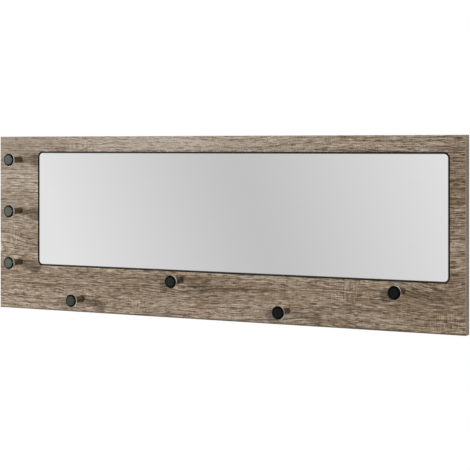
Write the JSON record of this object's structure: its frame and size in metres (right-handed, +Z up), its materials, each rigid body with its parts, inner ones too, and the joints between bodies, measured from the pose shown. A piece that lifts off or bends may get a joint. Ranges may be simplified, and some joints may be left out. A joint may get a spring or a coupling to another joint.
{
  "type": "wall mirror with hooks",
  "caption": "Long oak-faced wall panel with a sunk mirror and round dark chrome knob hooks, hung flat on keyhole plates.",
  "frame": {"origin": "centre of the panel's back face, where it lies on the wall", "axes": "+X along the panel to the viewer's right, +Y into the wall, so the front faces -Y, +Z up"},
  "size_m": [1, 0.059, 0.35],
  "materials": {
    "oak_board": "matt grey-brown oak decor on chipboard, horizontal grain",
    "oak_edge": "matt grey-brown oak edge band",
    "mirror": "clear silvered glass with a polished arris",
    "safety_film": "dull grey backing film",
    "foam_tape": "white closed-cell foam",
    "hook_metal": "polished dark chrome",
    "zinc_steel": "bright zinc plate",
    "hanger_steel": "satin zinc plate"
  },
  "bodies": {
    "root": {"board": "oak_board", "edge_band_top": "oak_edge", "edge_band_bottom": "oak_edge", "edge_band_left": "oak_edge", "edge_band_right": "oak_edge", "mirror_glass": "mirror", "mirror_film": "safety_film", "mirror_tape": "foam_tape", "hook_head_1": "hook_metal", "hook_head_2": "hook_metal", "hook_head_3": "hook_metal", "hook_head_4": "hook_metal", "hook_head_5": "hook_metal", "hook_head_6": "hook_metal", "hook_head_7": "hook_metal", "hook_stem_1": "hook_metal", "hook_stem_2": "hook_metal", "hook_stem_3": "hook_metal", "hook_stem_4": "hook_metal", "hook_stem_5": "hook_metal", "hook_stem_6": "hook_metal", "hook_stem_7": "hook_metal", "hook_screw_1": "zinc_steel", "hook_screw_2": "zinc_steel", "hook_screw_3": "zinc_steel", "hook_screw_4": "zinc_steel", "hook_screw_5": "zinc_steel", "hook_screw_6": "zinc_steel", "hook_screw_7": "zinc_steel", "hook_washer_1": "zinc_steel", "hook_washer_2": "zinc_steel", "hook_washer_3": "zinc_steel", "hook_washer_4": "zinc_steel", "hook_washer_5": "zinc_steel", "hook_washer_6": "zinc_steel", "hook_washer_7": "zinc_steel", "hanger_plate_left": "hanger_steel", "hanger_plate_right": "hanger_steel", "hanger_screws_left": "zinc_steel", "hanger_screws_right": "zinc_steel"}
  },
  "joints": []
}
